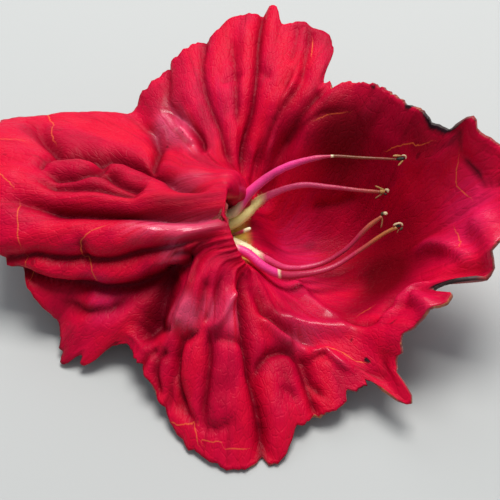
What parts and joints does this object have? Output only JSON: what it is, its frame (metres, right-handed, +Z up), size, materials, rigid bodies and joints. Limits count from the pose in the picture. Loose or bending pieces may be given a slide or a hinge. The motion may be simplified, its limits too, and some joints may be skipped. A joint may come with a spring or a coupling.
{
  "type": "sausage tree flower",
  "caption": "Fallen sausage tree blossom: one fused crimson corolla with a short tube and broad crumpled lobes, stamens arching from the throat over its bowl.",
  "frame": {"origin": "centre of the flower's footprint, at the height of the ground that it lies on", "axes": "+Z up; +X from the lobe folded over the tube, through the throat, to the bowl's rim; +Y towards the back lobe"},
  "size_m": [0.1265, 0.1119, 0.045],
  "materials": {
    "petal": "satin, leathery, crimson",
    "filament": "satin, magenta pink, yellow at the base",
    "staminode": "matt, pale yellow",
    "anther": "matt, withered brown with a cream knob"
  },
  "bodies": {
    "root": {"corolla": "petal", "filament_upper_outer": "filament", "filament_upper_inner": "filament", "filament_lower_inner": "filament", "filament_lower_outer": "filament", "anther_upper_outer": "anther", "anther_upper_inner": "anther", "anther_lower_inner": "anther", "anther_lower_outer": "anther", "staminode": "staminode"}
  },
  "joints": []
}
